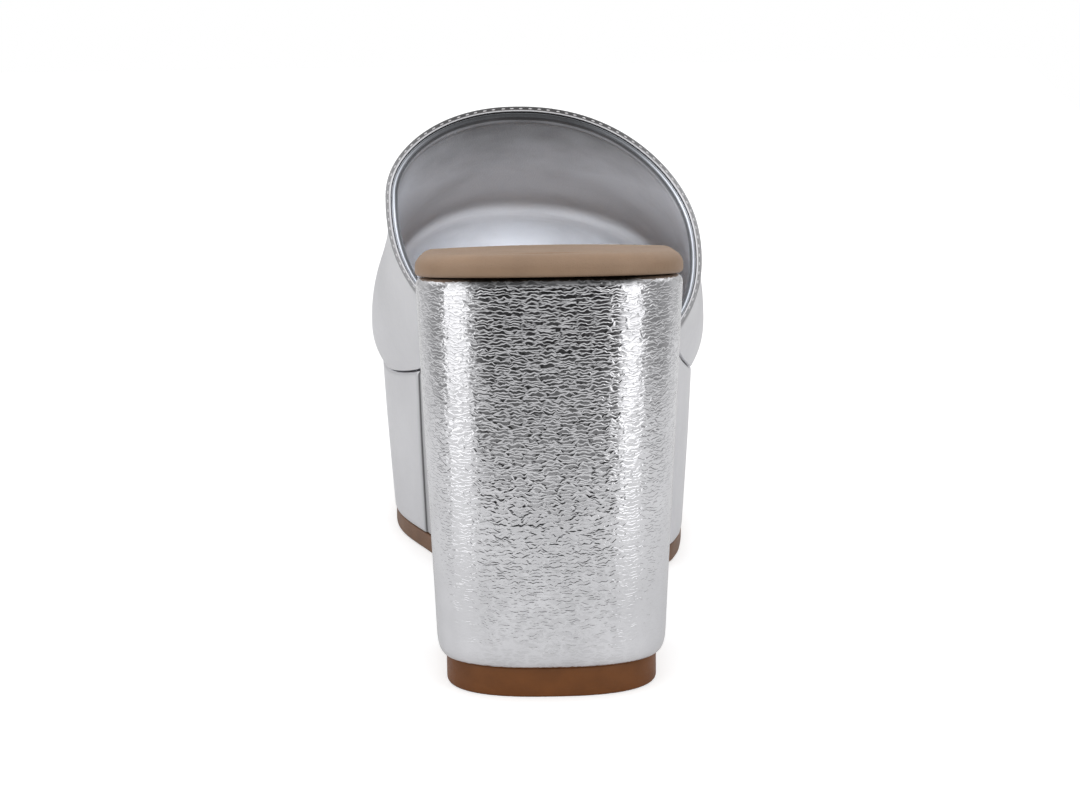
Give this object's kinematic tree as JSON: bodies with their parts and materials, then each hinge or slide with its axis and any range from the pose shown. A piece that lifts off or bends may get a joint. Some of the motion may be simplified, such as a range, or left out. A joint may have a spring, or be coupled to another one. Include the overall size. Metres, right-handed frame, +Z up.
{
  "type": "platform mule",
  "caption": "Backless platform mule with a closed toe, a wrapped block heel, a padded insole and a thick wrapped forefoot.",
  "frame": {"origin": "middle of the shoe's box at the floor", "axes": "+Y towards the toe, +X to the outer side of the foot, +Z up"},
  "size_m": [0.09, 0.24, 0.1245],
  "materials": {
    "silver_leather": "silver foiled leather, satin, with a fine wrinkled grain",
    "tan_sock": "tan sock leather, padded, soft satin",
    "brown_sole": "brown sole rubber, satin sides"
  },
  "bodies": {
    "root": {"upper": "silver_leather", "platform": "silver_leather", "heel": "silver_leather", "insole": "tan_sock", "top_lift": "brown_sole", "outsole": "brown_sole"}
  },
  "joints": []
}
